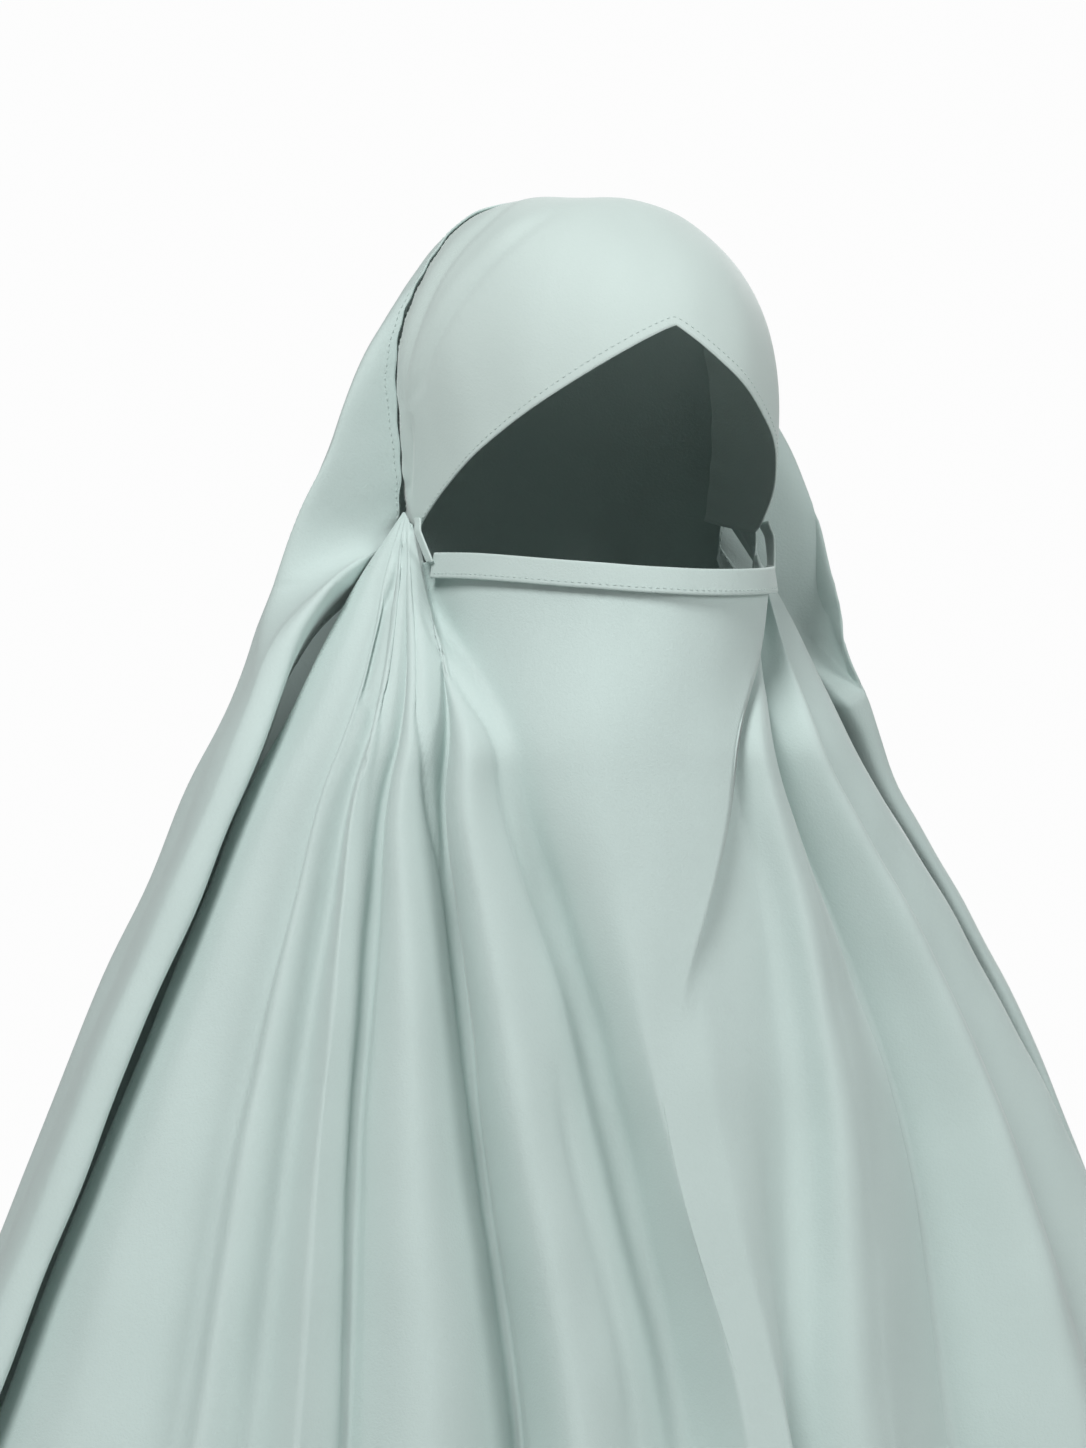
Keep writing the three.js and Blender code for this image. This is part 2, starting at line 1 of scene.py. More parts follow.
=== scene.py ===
# %% [markdown]
# A khimar is a long veil of light cloth that is pulled on from above. This one has a smooth hood, a
# band that runs round under the front opening, a front panel that hangs from that band in pressed
# folds, and a full outer veil that falls over the sides and down the back.
# The whole scene is built by formulas. Each piece of cloth is a surface with two directions,
# across and down, and short tables say where its folds run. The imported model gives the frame:
# the pieces made here lie where its solids lie, and are finer.

import bpy
import numpy as np
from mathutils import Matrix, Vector


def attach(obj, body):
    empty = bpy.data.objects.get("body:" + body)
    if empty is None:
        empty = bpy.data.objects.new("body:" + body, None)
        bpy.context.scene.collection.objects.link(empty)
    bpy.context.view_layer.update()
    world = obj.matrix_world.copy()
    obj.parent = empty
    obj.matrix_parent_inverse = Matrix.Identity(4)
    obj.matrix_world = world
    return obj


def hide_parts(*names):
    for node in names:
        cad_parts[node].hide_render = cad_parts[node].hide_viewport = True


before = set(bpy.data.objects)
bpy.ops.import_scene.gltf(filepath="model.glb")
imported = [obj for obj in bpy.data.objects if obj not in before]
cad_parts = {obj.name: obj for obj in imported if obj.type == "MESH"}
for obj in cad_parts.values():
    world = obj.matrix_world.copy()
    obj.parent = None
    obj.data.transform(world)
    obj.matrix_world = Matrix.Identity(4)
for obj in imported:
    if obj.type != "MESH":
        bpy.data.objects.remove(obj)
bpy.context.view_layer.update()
MM = 0.001


# %% [markdown]
# The camera comes first, so that every later choice can be judged in the photograph's own view.
# It stands two and a half metres off, level with the front panel, and a little to one side of
# straight ahead. A long lens keeps the perspective as flat as it is in a studio picture. The crown
# is not in the middle of the picture, and a small lens shift puts it there without turning.

# %% Set the camera
VIEW_TURN = np.radians(24.5)
VIEW_DISTANCE = 2.5
VIEW_HEIGHT = -0.2245
PICTURE = (1086, 1448)
PIXEL = 0.00043
CROWN_COLUMN = 588

to_camera = np.array([-np.sin(VIEW_TURN), -np.cos(VIEW_TURN), 0])
to_left = np.array([-np.cos(VIEW_TURN), np.sin(VIEW_TURN), 0])


def studio_place(forward, left, height):
    """A point given by metres towards the camera, to the picture's left, and up."""
    return Vector(to_camera * forward + to_left * left + np.array([0, 0, height]))


lens = bpy.data.cameras.new("camera")
lens.sensor_fit = "VERTICAL"
lens.sensor_height = 36
lens.lens = lens.sensor_height * VIEW_DISTANCE / (PICTURE[1] * PIXEL)
lens.shift_x = (PICTURE[0] / 2 - CROWN_COLUMN) / PICTURE[1]
camera = bpy.data.objects.new("camera", lens)
camera.location = studio_place(VIEW_DISTANCE, 0, VIEW_HEIGHT)
camera.rotation_euler = (np.pi / 2, 0, -VIEW_TURN)
bpy.context.scene.collection.objects.link(camera)
bpy.context.scene.camera = camera
print("lens of", round(lens.lens, 1), "mm, shift", round(lens.shift_x, 4))

# %% [markdown]
# The studio is as plain as the one in the photograph: a pale floor, one large soft light high in
# front, a weaker one at the picture's right, one behind, and a little light from all round. Big
# area lights are chosen because they shade the folds softly, as a window does. The world shows white
# to the camera and gives the cloth a weaker light, so that the valleys of the folds stay dark.

# %% Build the studio
FLOOR_DROP = 1.03
FLOOR_SIZE = 3.2


def pale_paint():
    paint = bpy.data.materials.new("floor_paint")
    paint.use_nodes = True
    shader = paint.node_tree.nodes["Principled BSDF"]
    shader.inputs["Base Color"].default_value = (0.82, 0.82, 0.81, 1)
    shader.inputs["Roughness"].default_value = 0.9
    return paint


def lay_floor():
    corners = [(-1, -1), (1, -1), (1, 1), (-1, 1)]
    mesh = bpy.data.meshes.new("floor")
    points = [(x * FLOOR_SIZE, y * FLOOR_SIZE, -FLOOR_DROP) for x, y in corners]
    mesh.from_pydata(points, [], [(0, 1, 2, 3)])
    mesh.materials.append(pale_paint())
    floor = bpy.data.objects.new("floor", mesh)
    bpy.context.scene.collection.objects.link(floor)


def hang_light(name, place, aim, size, power):
    lamp = bpy.data.lights.new(name, "AREA")
    lamp.shape = "DISK"
    lamp.size = size
    lamp.energy = power
    holder = bpy.data.objects.new(name, lamp)
    holder.location = place
    holder.rotation_euler = (Vector(aim) - place).to_track_quat("-Z", "Y").to_euler()
    bpy.context.scene.collection.objects.link(holder)


def light_world(seen, given):
    world = bpy.data.worlds.new("studio")
    world.use_nodes = True
    tree = world.node_tree
    white = tree.nodes["Background"]
    white.inputs["Color"].default_value = (1, 1, 1, 1)
    rays = tree.nodes.new("ShaderNodeLightPath")
    strength = tree.nodes.new("ShaderNodeMapRange")
    strength.inputs["To Min"].default_value = given
    strength.inputs["To Max"].default_value = seen
    tree.links.new(rays.outputs["Is Camera Ray"], strength.inputs["Value"])
    tree.links.new(strength.outputs["Result"], white.inputs["Strength"])
    bpy.context.scene.world = world


lay_floor()
hang_light("key", studio_place(1.6, 0.7, 1.7), (0, 0, -0.3), 1.1, 58)
hang_light("fill", studio_place(1.2, -2.1, 0.6), (0, 0, -0.25), 1.0, 22)
hang_light("back", studio_place(-2.3, -0.5, 0.9), (0, 0, -0.4), 1.6, 26)
light_world(seen=0.98, given=0.155)
bpy.context.scene.view_settings.view_transform = "Standard"
print("studio has", len(bpy.data.lights), "lights and a floor at", -FLOOR_DROP, "m")

# %% [markdown]
# These are the sizes of the veil in millimetres, the same ones that the solids were made from. The
# origin is the inside of the hood at the crown, the opening looks along -Y and the veil's own left
# is +X. The girth table says how wide the drape is at each drop, as shares of the hem's size. The
# real crepe is thin, so it is drawn thinner than the layers that keep one cloth clear of the next.

# %% Name the sizes
HEAD_WIDTH, HEAD_DEPTH, CROWN_RISE, JAW_DROP, HEAD_ROUND = 152, 196, 95, 190, 2.2
VEIL_DROP, PANEL_DROP, HEM_WIDTH, HEM_FRONT, HEM_BACK = 1000, 945, 872, 192, 262
FOLD_DEPTH, ROLL_INSET, ROLL_START, ROLL_SPAN = 36, 15, 1.023, 0.026
NECK_FALL = CROWN_RISE + 145
CLOTH, LAYER_GAP, SEAM_LAP = 1.4, 0.85, 6
CREPE_THICK, HEM_THICK = 0.9, 1.5
FACE_PEAK, FACE_FALL, FACE_TURN = 59, 82, -2
CORNER_RIGHT, CORNER_LEFT, CURVE_RIGHT, CURVE_LEFT = 95, 84, 1.2, 1.05
CORNER_FALL = FACE_PEAK + FACE_FALL
BAND_TOP, BAND_SAG, BAND_TILT, BAND_HEIGHT = CORNER_FALL + 13, 6, 2, 10.5
BAND_FLARE, BAND_SHORT, TAB_WIDTH, HEM_STRIP = 3, 10, 4, 4
SEAM_BACK, SEAM_FULL_RIGHT, SEAM_FULL_LEFT = 28, 8, 1.5
FULL_FROM, FULL_TO = 36, 60
GATHER_FALL = CORNER_FALL - 7
SEAM_END = np.degrees(np.arccos((CROWN_RISE - GATHER_FALL) / CROWN_RISE))
PANEL_TUCK, TUCK_SHORT, PANEL_RISE, GATHER_SPAN = 4, 1, 4, 9
TAB_SHORT, TAB_SPREAD, TAB_LIFT, TAB_RAMP = 2.5, 3, 1, 3
VEIL_OVER_HOOD, LIFT_START, LIFT_REACH = SEAM_END - 14, 2 * SEAM_LAP, 60
FACE_PULL, GATHER_PULL, PULL_SPREAD = 0.05, 1.3, 8
PULL_RIGHT, PULL_LEFT = -3, 4
CAP_EASE, VEIL_EASE, PANEL_EASE, TENT_BLEND, FADE_LENGTH = 1.5, 1.25, 1.3, 6, 0.1
INNER = CLOTH / 2
MIDDLE = INNER + CLOTH + LAYER_GAP
OUTER = MIDDLE + CLOTH + LAYER_GAP
NECK_DROP, RING_DROP = 0.24, 0.165
PANEL_DROPS = [NECK_DROP, 0.36, 0.54, 1.0]
VEIL_DROPS = [RING_DROP, 0.26, 0.54, 1.0]

GIRTH = {
    "drop": [0, 0.033, 0.06, 0.1, 0.135, 0.165, 0.19, 0.24, 0.3, 0.35, 0.4, 0.54, 0.7, 0.85, 1],
    "veil": [
        0.08, 0.165, 0.207, 0.256, 0.284, 0.294, 0.307, 0.362, 0.443, 0.51, 0.568, 0.715, 0.83, 0.925, 1,
    ],
    "panel": [0.1, 0.14, 0.15, 0.17, 0.19, 0.21, 0.235, 0.31, 0.39, 0.45, 0.51, 0.65, 0.755, 0.845, 0.92],
    "front": [0.3, 0.35, 0.4, 0.45, 0.5, 0.52, 0.53, 0.54, 0.565, 0.585, 0.605, 0.667, 0.78, 0.9, 1],
    "back": [0.2, 0.3, 0.36, 0.4, 0.415, 0.425, 0.435, 0.46, 0.5, 0.535, 0.57, 0.68, 0.8, 0.905, 1],
    "lean": [0, 0, 0, 0.01, -0.02, -0.065, -0.09, -0.09, -0.045, -0.015, 0.01, 0.04, 0.04, 0.04, 0.04],
    "folds": [0, 0, 0, 0.04, 0.1, 0.25, 0.4, 0.6, 0.8, 0.9, 1, 1.15, 1.25, 1.3, 1.35],
}
print("hem is", HEM_WIDTH, "mm wide and hangs", VEIL_DROP, "mm below the crown")

# %% [markdown]
# Hanging cloth is best described by its folds. Each row below is one line that runs down the cloth:
# a ridge, a valley or an edge. The row says where the line starts, at what bearing it passes four
# levels on its way down, and how deep it lies. Everything between two lines is worked out from
# them, so a fold is moved by changing one row. A cloth simulation would find folds of its own, and
# these have to lie where the photograph shows them.

# %% Write down the fold lines
VEIL_KEYS = ("settle", "late", "ring")
LINE_KEYS = ("top", "neck", "chest", "waist", "hem", *VEIL_KEYS, "depth", "crisp", "last", "steps")
PLAIN_LINE = dict(depth=0, crisp=0, last=2, settle=0.13, late=0, ring=RING_DROP, steps=2)

PANEL_LINES = {
    "right edge": dict(top=-1.1, neck=-90, chest=-90, waist=-90, hem=-90),
    "right side": dict(top=-1.093, neck=-78, chest=-77, waist=-72, hem=-70),
    "valley a": dict(top=-1.085, neck=-68, chest=-64, waist=-57, hem=-56, depth=0.35),
    "ridge a": dict(top=-1.078, neck=-65, chest=-59, waist=-51.5, hem=-49, depth=0.1),
    "valley b": dict(top=-1.071, neck=-61, chest=-54.5, waist=-47, hem=-43, depth=0.4),
    "ridge c": dict(top=-1.063, neck=-57, chest=-48, waist=-40, hem=-35, crisp=1),
    "valley d": dict(top=-1.055, neck=-53, chest=-45, waist=-36, hem=-30, depth=0.45, crisp=1),
    "ridge e": dict(top=-1.045, neck=-48, chest=-36.5, waist=-27, hem=-21, steps=3),
    "valley e": dict(top=-1.032, neck=-43, chest=-30, waist=-18, hem=-13, depth=0.9, crisp=1),
    "ridge f": dict(top=-0.989, neck=-36, chest=-23, waist=-13, hem=-9, steps=3),
    "valley g": dict(top=-0.916, neck=-28, chest=-12, waist=-2, hem=-1, depth=0.7, steps=3),
    "face ridge": dict(top=-0.211, neck=-9, chest=-6, waist=2.4, hem=4, steps=3),
    "face fold": dict(top=0.653, neck=16.5, chest=-2.5, waist=4, hem=6, depth=0.1, crisp=1, last=0.37),
    "face tuck": dict(top=0.705, neck=14, chest=1, waist=6, hem=7.5, depth=0.4, last=0.37),
    "valley h": dict(top=0.779, neck=18, chest=14, waist=8, hem=9, depth=0.45),
    "ridge i": dict(top=0.863, neck=23, chest=19, waist=13.5, hem=14, depth=0.05),
    "crease j": dict(top=0.95, neck=27.5, chest=23.5, waist=18, hem=19, depth=0.2, crisp=1),
    "valley k": dict(top=1.02, neck=36, chest=40, waist=33, hem=32, depth=1, crisp=1),
    "ridge l": dict(top=1.09, neck=41, chest=46, waist=42, hem=41, steps=3),
    "valley m": dict(top=1.15, neck=50, chest=60, waist=57, hem=55, depth=0.5, steps=3),
    "left side": dict(top=1.195, neck=66, chest=77, waist=75, hem=72, steps=3),
    "left edge": dict(top=1.22, neck=82, chest=88, waist=90, hem=90),
}

VEIL_LINES = {
    "right edge": dict(top=-1.061, neck=-106, chest=-99, waist=-98, hem=-98, depth=0.2, settle=0.68),
    "right flap": dict(top=-1.049, neck=-98, chest=-88, waist=-86, hem=-86, settle=0.68),
    "right turn": dict(top=-1.037, neck=-91, chest=-79, waist=-79, hem=-79, settle=0.68),
    "right roll": dict(top=-1.023, neck=-95, chest=-83, waist=-83, hem=-83, settle=0.68),
    "right dip": dict(top=-0.982, neck=-105, chest=-97, waist=-98, hem=-98, depth=0.15, settle=0.5),
    "right brow": dict(top=-0.912, neck=-115, chest=-112, waist=-113, hem=-112, settle=0.3),
    "valley n": dict(top=-0.789, neck=-127, chest=-127, waist=-127, hem=-126, depth=0.7, settle=0.2),
    "ridge n": dict(top=-0.667, neck=-139, chest=-139, waist=-139, hem=-139, steps=3),
    "valley o": dict(top=-0.526, neck=-151, chest=-151, waist=-151, hem=-151, depth=0.85, steps=3),
    "ridge o": dict(top=-0.368, neck=-163, chest=-163, waist=-163, hem=-163, steps=3),
    "valley p": dict(top=-0.193, neck=-174, chest=-174, waist=-174, hem=-174, depth=0.9, steps=3),
    "ridge p": dict(top=0, neck=-186, chest=-186, waist=-186, hem=-186, steps=3),
    "valley q": dict(top=0.193, neck=-197, chest=-197, waist=-197, hem=-197, depth=0.8, steps=3),
    "ridge q": dict(top=0.368, neck=-212, chest=-210, waist=-209, hem=-209, steps=3, settle=0.2),
    "valley r": dict(
        top=0.526, neck=-230, chest=-223, waist=-221, hem=-221, depth=0.9, steps=3, settle=0.2
    ),
    "ridge r": dict(top=0.667, neck=-247, chest=-237, waist=-233, hem=-233, settle=0.3),
    "valley s": dict(top=0.789, neck=-262, chest=-250, waist=-245, hem=-245, depth=0.5, settle=0.3),
    "left brow": dict(
        top=0.912, neck=-276, chest=-259, waist=-252, hem=-252, settle=0.33, late=0.1, ring=0.175
    ),
    "left dip": dict(
        top=0.982, neck=-284, chest=-264, waist=-256, hem=-256, depth=0.15, settle=0.45, late=0.3, ring=0.19
    ),
    "left roll": dict(
        top=1.023, neck=-289, chest=-268, waist=-258, hem=-258, settle=0.68, late=0.5, ring=0.21
    ),
    "left turn": dict(
        top=1.037, neck=-292, chest=-271, waist=-261, hem=-261, settle=0.78, late=0.6, ring=0.215
    ),
    "left flap": dict(
        top=1.049, neck=-285, chest=-264, waist=-254, hem=-254, settle=0.75, late=0.6, ring=0.215
    ),
    "left edge": dict(
        top=1.061, neck=-278, chest=-256, waist=-245, hem=-245, depth=0.1, settle=0.75, late=0.6, ring=0.215
    ),
}


def line_columns(table):
    """One array for each column of a table of fold lines."""
    rows = [{**PLAIN_LINE, **row} for row in table.values()]
    return {key: np.array([row[key] for row in rows], float) for key in LINE_KEYS}


panel_lines = line_columns(PANEL_LINES)
veil_lines = line_columns(VEIL_LINES)
print(len(PANEL_LINES), "lines in the panel and", len(VEIL_LINES), "in the veil")

# %% [markdown]
# A curve that is drawn through a table must not swing past its numbers, or a flat stretch of cloth
# would get waves that nobody asked for. The slope at each row is therefore the calmer mean of the
# slopes on its two sides, and it is zero where they disagree. The same curve serves down the cloth
# and across it. NumPy works it out for a whole surface at once.

# %% Draw calm curves through the tables
def ease(share):
    held = np.clip(share, 0, 1)
    return held * held * (3 - 2 * held)


def spring(share):
    held = np.clip(share, 0, 1)
    return held * (2 - held)


def mix(a, b, share):
    return a + (b - a) * share


def calm_slope(before, after):
    agree = before * after > 0
    return np.where(agree, 2 * before * after / np.where(agree, before + after, 1), 0)


def hermite(a, b, slope_a, slope_b, t):
    turn = t * t * (3 - 2 * t)
    return mix(a, b, turn) + t * (1 - t) * (1 - t) * slope_a - t * t * (1 - t) * slope_b


def follow(places, values, place):
    """Reads values, given at rising places, at any place between them."""
    held = np.clip(place, places[0], places[-1])
    spans = np.diff(places)
    rises = [(values[n + 1] - values[n]) / spans[n] for n in range(len(spans))]
    slopes = [rises[0], *(calm_slope(a, b) for a, b in zip(rises, rises[1:])), rises[-1]]
    result = None
    for n, span in enumerate(spans):
        t = np.clip((held - places[n]) / span, 0, 1)
        part = hermite(values[n], values[n + 1], slopes[n] * span, slopes[n + 1] * span, t)
        result = part if result is None else np.where(held >= places[n], part, result)
    return result


print("half way between 0, 1, 1 and 2 the curve reads", float(follow([0, 1, 2, 3], [0, 1, 1, 2], 1.5)))

# %% [markdown]
# Two forms carry all the cloth. The crown form is a rounded box, the hollow that the hood is cut to
# fit, and the tent is the cone of cloth below it. The tent is never smaller than the crown form, and
# a rounded maximum of the two gives the soft bend where cloth starts to hang. A layer is a distance
# out from the crown form, so that cloth over cloth is always clear of what lies under it.

# %% Shape the crown and the tent
def drop_at(z):
    above = -z / NECK_FALL * NECK_DROP
    below = mix(NECK_DROP, 1, (-z - NECK_FALL) / (VEIL_DROP - NECK_FALL))
    return np.where(z > -NECK_FALL, above, below)


def girth(column, drop):
    return follow(GIRTH["drop"], GIRTH[column], drop)


def head_share(z, layer):
    reach = np.where(z > -CROWN_RISE, CROWN_RISE, JAW_DROP)
    share = np.minimum(np.abs(z + CROWN_RISE) / (reach + layer), 1)
    return (1 - share**HEAD_ROUND) ** (1 / HEAD_ROUND)


def points(x, y, z):
    return np.stack(np.broadcast_arrays(x, y, z), axis=-1)


def head_at(bearing, z, layer):
    share = head_share(z, layer)
    turn = np.radians(bearing)
    wide = (HEAD_WIDTH / 2 + layer) * share
    deep = (HEAD_DEPTH / 2 + layer) * share
    return points(wide * np.sin(turn), -deep * np.cos(turn), z)


def head_along(ray, layer):
    """Where a ray from the middle of the crown form comes through a layer over it."""
    x, y, z = np.moveaxis(ray, -1, 0)
    reach = np.where(z > 0, CROWN_RISE, JAW_DROP) + layer
    level = np.hypot(x / (HEAD_WIDTH / 2 + layer), y / (HEAD_DEPTH / 2 + layer)) ** HEAD_ROUND
    size = (level + np.abs(z / reach) ** HEAD_ROUND) ** (-1 / HEAD_ROUND)
    return points(x * size, y * size, z * size - CROWN_RISE)


def unit(vectors):
    return vectors / np.linalg.norm(vectors, axis=-1, keepdims=True)


def ray_to(place):
    return unit(place + np.array([0, 0, CROWN_RISE]))


def swing(start, end, share):
    """A ray turned from one direction to another."""
    angle = np.arccos(np.clip(np.sum(start * end, axis=-1), -1, 1))[..., None]
    share = np.asarray(share)[..., None]
    near, far = np.sin((1 - share) * angle), np.sin(share * angle)
    return (start * near + end * far) / np.sin(angle)


def rounded_max(a, b, blend):
    near = np.maximum(blend - np.abs(a - b), 0)
    return np.maximum(a, b) + near * near / (4 * blend)


def tent_at(column, bearing, z, layer, sink):
    drop = drop_at(z)
    turn = np.radians(bearing)
    share = head_share(z, layer)
    front = girth("front", drop) * HEM_FRONT
    back = girth("back", drop) * HEM_BACK
    reach = np.where(np.cos(turn) > 0, front, back)
    half = girth(column, drop) * HEM_WIDTH / 2
    wide = rounded_max((HEAD_WIDTH / 2 + layer) * share, half, TENT_BLEND) - sink
    deep = rounded_max((HEAD_DEPTH / 2 + layer) * share, reach, TENT_BLEND) - sink
    lean = girth("lean", drop) * HEAD_WIDTH
    return points(lean + wide * np.sin(turn), -deep * np.cos(turn), z)


print("the hood is cut for a hollow of", HEAD_WIDTH, "by", HEAD_DEPTH, "mm")

# %% [markdown]
# The lines are too far apart to be a surface, so columns of points are set between them. At a soft
# fold the curve across the cloth is round, and at a crisp one it keeps a corner, like a pleat
# that was pressed with an iron. A fold can also fade out on its way down, as the one in the
# middle of the panel does.

# %% Set columns between the lines
def columns_between(lines, finer):
    """The line before each column, and how far the column lies towards the next."""
    index, part = [], []
    for n, steps in enumerate(lines["steps"][:-1]):
        count = int(steps * finer)
        index += [n] * count
        part += [k / count for k in range(count)]
    return np.array(index + [len(lines["steps"]) - 2]), np.array(part + [1.0])[:, None]


def across(values, crisp, index, part):
    """A value of the lines, read at each column and each row of the surface."""
    values = values[:, None] if values.ndim == 1 else values
    step = np.diff(values, axis=0)
    soft = calm_slope(step[:-1], step[1:])
    soft = np.concatenate([step[:1], soft, step[-1:]])
    keep = crisp.copy()
    keep[[0, -1]] = 0
    own = step[index]
    slope_a = mix(soft[index], own, keep[index])
    slope_b = mix(soft[index + 1], own, keep[index + 1])
    return hermite(values[index], values[index + 1], slope_a, slope_b, part)


def read_lines(lines, index, part, drop):
    """Every column of the table over the whole surface, with folds faded where they end."""
    left = 1 - ease((drop[None, :] - lines["last"][:, None]) / FADE_LENGTH + 1)
    crisp = lines["crisp"][:, None] * left
    depth = lines["depth"][:, None] * left
    keys = ("top", "neck", "chest", "waist", "hem", *VEIL_KEYS)
    surface = {key: across(lines[key], crisp, index, part) for key in keys}
    surface["depth"] = across(depth, crisp, index, part)
    return surface


def bearing_at(surface, z, drops):
    return follow(drops, [surface[key] for key in ("neck", "chest", "waist", "hem")], drop_at(z))


def fold_sink(surface, z):
    return surface["depth"] * FOLD_DEPTH * girth("folds", drop_at(z))


print("the panel has", len(columns_between(panel_lines, 6)[0]), "columns")

# %% [markdown]
# The front panel is tucked under the band in front and gathered at both upper corners. Its top
# follows the crown form and its lower part the tent, and a curve joins the two: under the band it
# starts straight down, as cloth does under a hem, and at the gathers it springs out at once.

# %% Shape the front panel
def corner_of(side):
    return np.where(np.asarray(side) < 0, CORNER_RIGHT, CORNER_LEFT)


def face_edge_z(bearing):
    curve = np.where(np.asarray(bearing) < 0, CURVE_RIGHT, CURVE_LEFT)
    return -FACE_PEAK - FACE_FALL * (np.abs(bearing) / corner_of(bearing)) ** curve


def band_top_z(bearing):
    turn = np.radians(bearing)
    return -BAND_TOP - BAND_SAG * np.cos(turn) ** 2 - BAND_TILT * np.sin(turn)


def panel_top(bearing):
    past = np.abs(bearing) - corner_of(bearing)
    rise = ease((past + TUCK_SHORT) / PANEL_RISE)
    gather = mix(-CORNER_FALL, -GATHER_FALL, ease(past / GATHER_SPAN))
    z = mix(band_top_z(bearing) - PANEL_TUCK, gather, rise)
    return head_at(bearing, z, mix(INNER, MIDDLE, rise))


def panel_surface(index, part, rows):
    fall = rows**PANEL_EASE
    surface = read_lines(panel_lines, index, part, drop_at(-mix(BAND_TOP, PANEL_DROP, fall)))
    start = surface["top"] * corner_of(surface["top"])
    top = panel_top(start)
    z = mix(top[..., 2], -PANEL_DROP, fall[None, :])

    def hang(height):
        bearing = bearing_at(surface, height, PANEL_DROPS)
        return tent_at("panel", bearing, height, INNER, fold_sink(surface, height))

    level = np.full(z.shape, -float(NECK_FALL))
    neck, below = hang(level), hang(level - 1)
    span = (top[..., 2] + NECK_FALL)[..., None]
    t = np.clip((top[..., 2] - z)[..., None] / span, 0, 1)
    pull_from = np.where(start < 0, PULL_RIGHT, PULL_LEFT)
    pull = ease((np.abs(start) - corner_of(start) - pull_from) / PULL_SPREAD)
    leave = mix(FACE_PULL, GATHER_PULL, pull)[..., None]
    upper = hermite(top, neck, (neck - top) * leave, (below - neck) * span, t)
    upper[..., 2] = z
    return np.where((z <= -NECK_FALL)[..., None], hang(z), upper)


PANEL_FINER, PANEL_ROWS = 6, 160
panel_columns = columns_between(panel_lines, PANEL_FINER)
panel_rows = np.linspace(0, 1, PANEL_ROWS)
panel_grid = panel_surface(*panel_columns, panel_rows)
print("panel surface", panel_grid.shape[:2], "reaches down to", panel_grid[..., 2].min(), "mm")

# %% [markdown]
# Small sharp pleats fan out below the gather at the right end of the band, and a few wider ones
# deepen the large folds. All are too fine for the table of folds, so each is a groove that is
# pressed into the finished surface. Its path is given by the fold line that it follows at each drop,
# and its two ends run out to nothing.

# %% Press the pleats
PLEATS = {
    "first": dict(
        down=[142, 165, 205, 239, 300, 400],
        line=[7.1, 7.1, 7.1, 7.5, 7.9, 8.2],
        depth=[0, 1.6, 2.8, 2.6, 1.6, 0],
    ),
    "second": dict(
        down=[142, 154, 170, 207, 241, 290],
        line=[5.7, 5.6, 5, 5.1, 5.4, 5.6],
        depth=[0, 1, 1.8, 2, 1.2, 0],
    ),
    "third": dict(down=[155, 176, 206, 241, 290], line=[5, 3.3, 3.3, 5, 5.4], depth=[0, 1.5, 1.7, 1, 0]),
    "fourth": dict(
        down=[165, 191, 207, 242, 320],
        line=[7.4, 7.9, 9.2, 9.8, 9.9],
        depth=[0, 1.2, 1.5, 1.3, 0],
    ),
    "fifth": dict(down=[148, 165, 183, 223, 270], line=[4.9, 4, 3.3, 3.2, 3.2], depth=[0, 1, 1.4, 1.1, 0]),
    "chest": dict(down=[200, 257, 300, 386, 560], line=[10] * 5, depth=[0, 3.5, 6, 4.5, 0], width=8),
    "left": dict(down=[260, 330, 390, 460, 560], line=[14.4] * 5, depth=[0, 2.4, 3.4, 2.4, 0], width=8),
    "outer strip": dict(down=[190, 270, 350, 620, 900], line=[6] * 5, depth=[0, 2, 3.6, 3.2, 0], width=4),
    "inner strip": dict(down=[190, 270, 350, 620, 900], line=[8] * 5, depth=[0, 2, 3.6, 3.2, 0], width=4),
    "small": dict(down=[360, 400, 470, 560], line=[9.45, 9.45, 9.5, 9.5], depth=[0, 1.8, 1.8, 0], width=4),
}
PLEAT_WIDTH = 2.6


def line_numbers(index, part):
    return index + part[:, 0]


def walk_across(grid):
    """How far each column lies along the cloth from the first one, row by row."""
    steps = np.linalg.norm(np.diff(grid, axis=0), axis=-1).cumsum(axis=0)
    return np.concatenate([np.zeros((1, grid.shape[1])), steps])


def pleat_sink(grid, numbers):
    """How deep each point of the panel is pressed in by the pleats."""
    down = -grid[..., 2]
    walk = walk_across(grid)
    sink = 0
    for pleat in PLEATS.values():
        line = follow(pleat["down"], pleat["line"], down)
        path = [np.interp(line[:, j], numbers, walk[:, j]) for j in range(grid.shape[1])]
        away = (walk - np.stack(path, axis=1)) / pleat.get("width", PLEAT_WIDTH)
        sink = sink + follow(pleat["down"], pleat["depth"], down) * np.exp(-(away**2))
    return sink


def grid_normals(grid):
    return unit(np.cross(np.gradient(grid, axis=0), np.gradient(grid, axis=1)))


pleats = pleat_sink(panel_grid, line_numbers(*panel_columns))
panel_grid = panel_grid + grid_normals(panel_grid) * pleats[..., None]
print(len(PLEATS), "pleats, the deepest", round(float(pleats.max()), 2), "mm")

# %% [markdown]
# The seam between hood and veil is the sharpest line on the garment. Its thread pulls both cloths
# down into a narrow valley, deepest at the side, and draws them into small puckers. Both
# cloths are pressed by one formula of the distance from the seam, so neither cuts into the other.

# %% Press the seam
SEAM_CLOSE, CLOSE_REACH, CLOSE_END, CLOSE_SPAN = 0.3, 9, 80, 15
SEAM_DIP = {
    "place": [-118, -104, -80, -50, -25, 0, 25, 50, 118],
    "dip": [0, 0.6, 2.2, 2, 0.6, 0, 0.4, 0.7, 0],
}
DIP_REACH, PUCKER_REACH, PUCKER_DEPTH, PUCKER_RATE = 11, 15, 0.3, 0.72
PUCKER_DRIFT, DRIFT_RATE = 1.6, 0.11


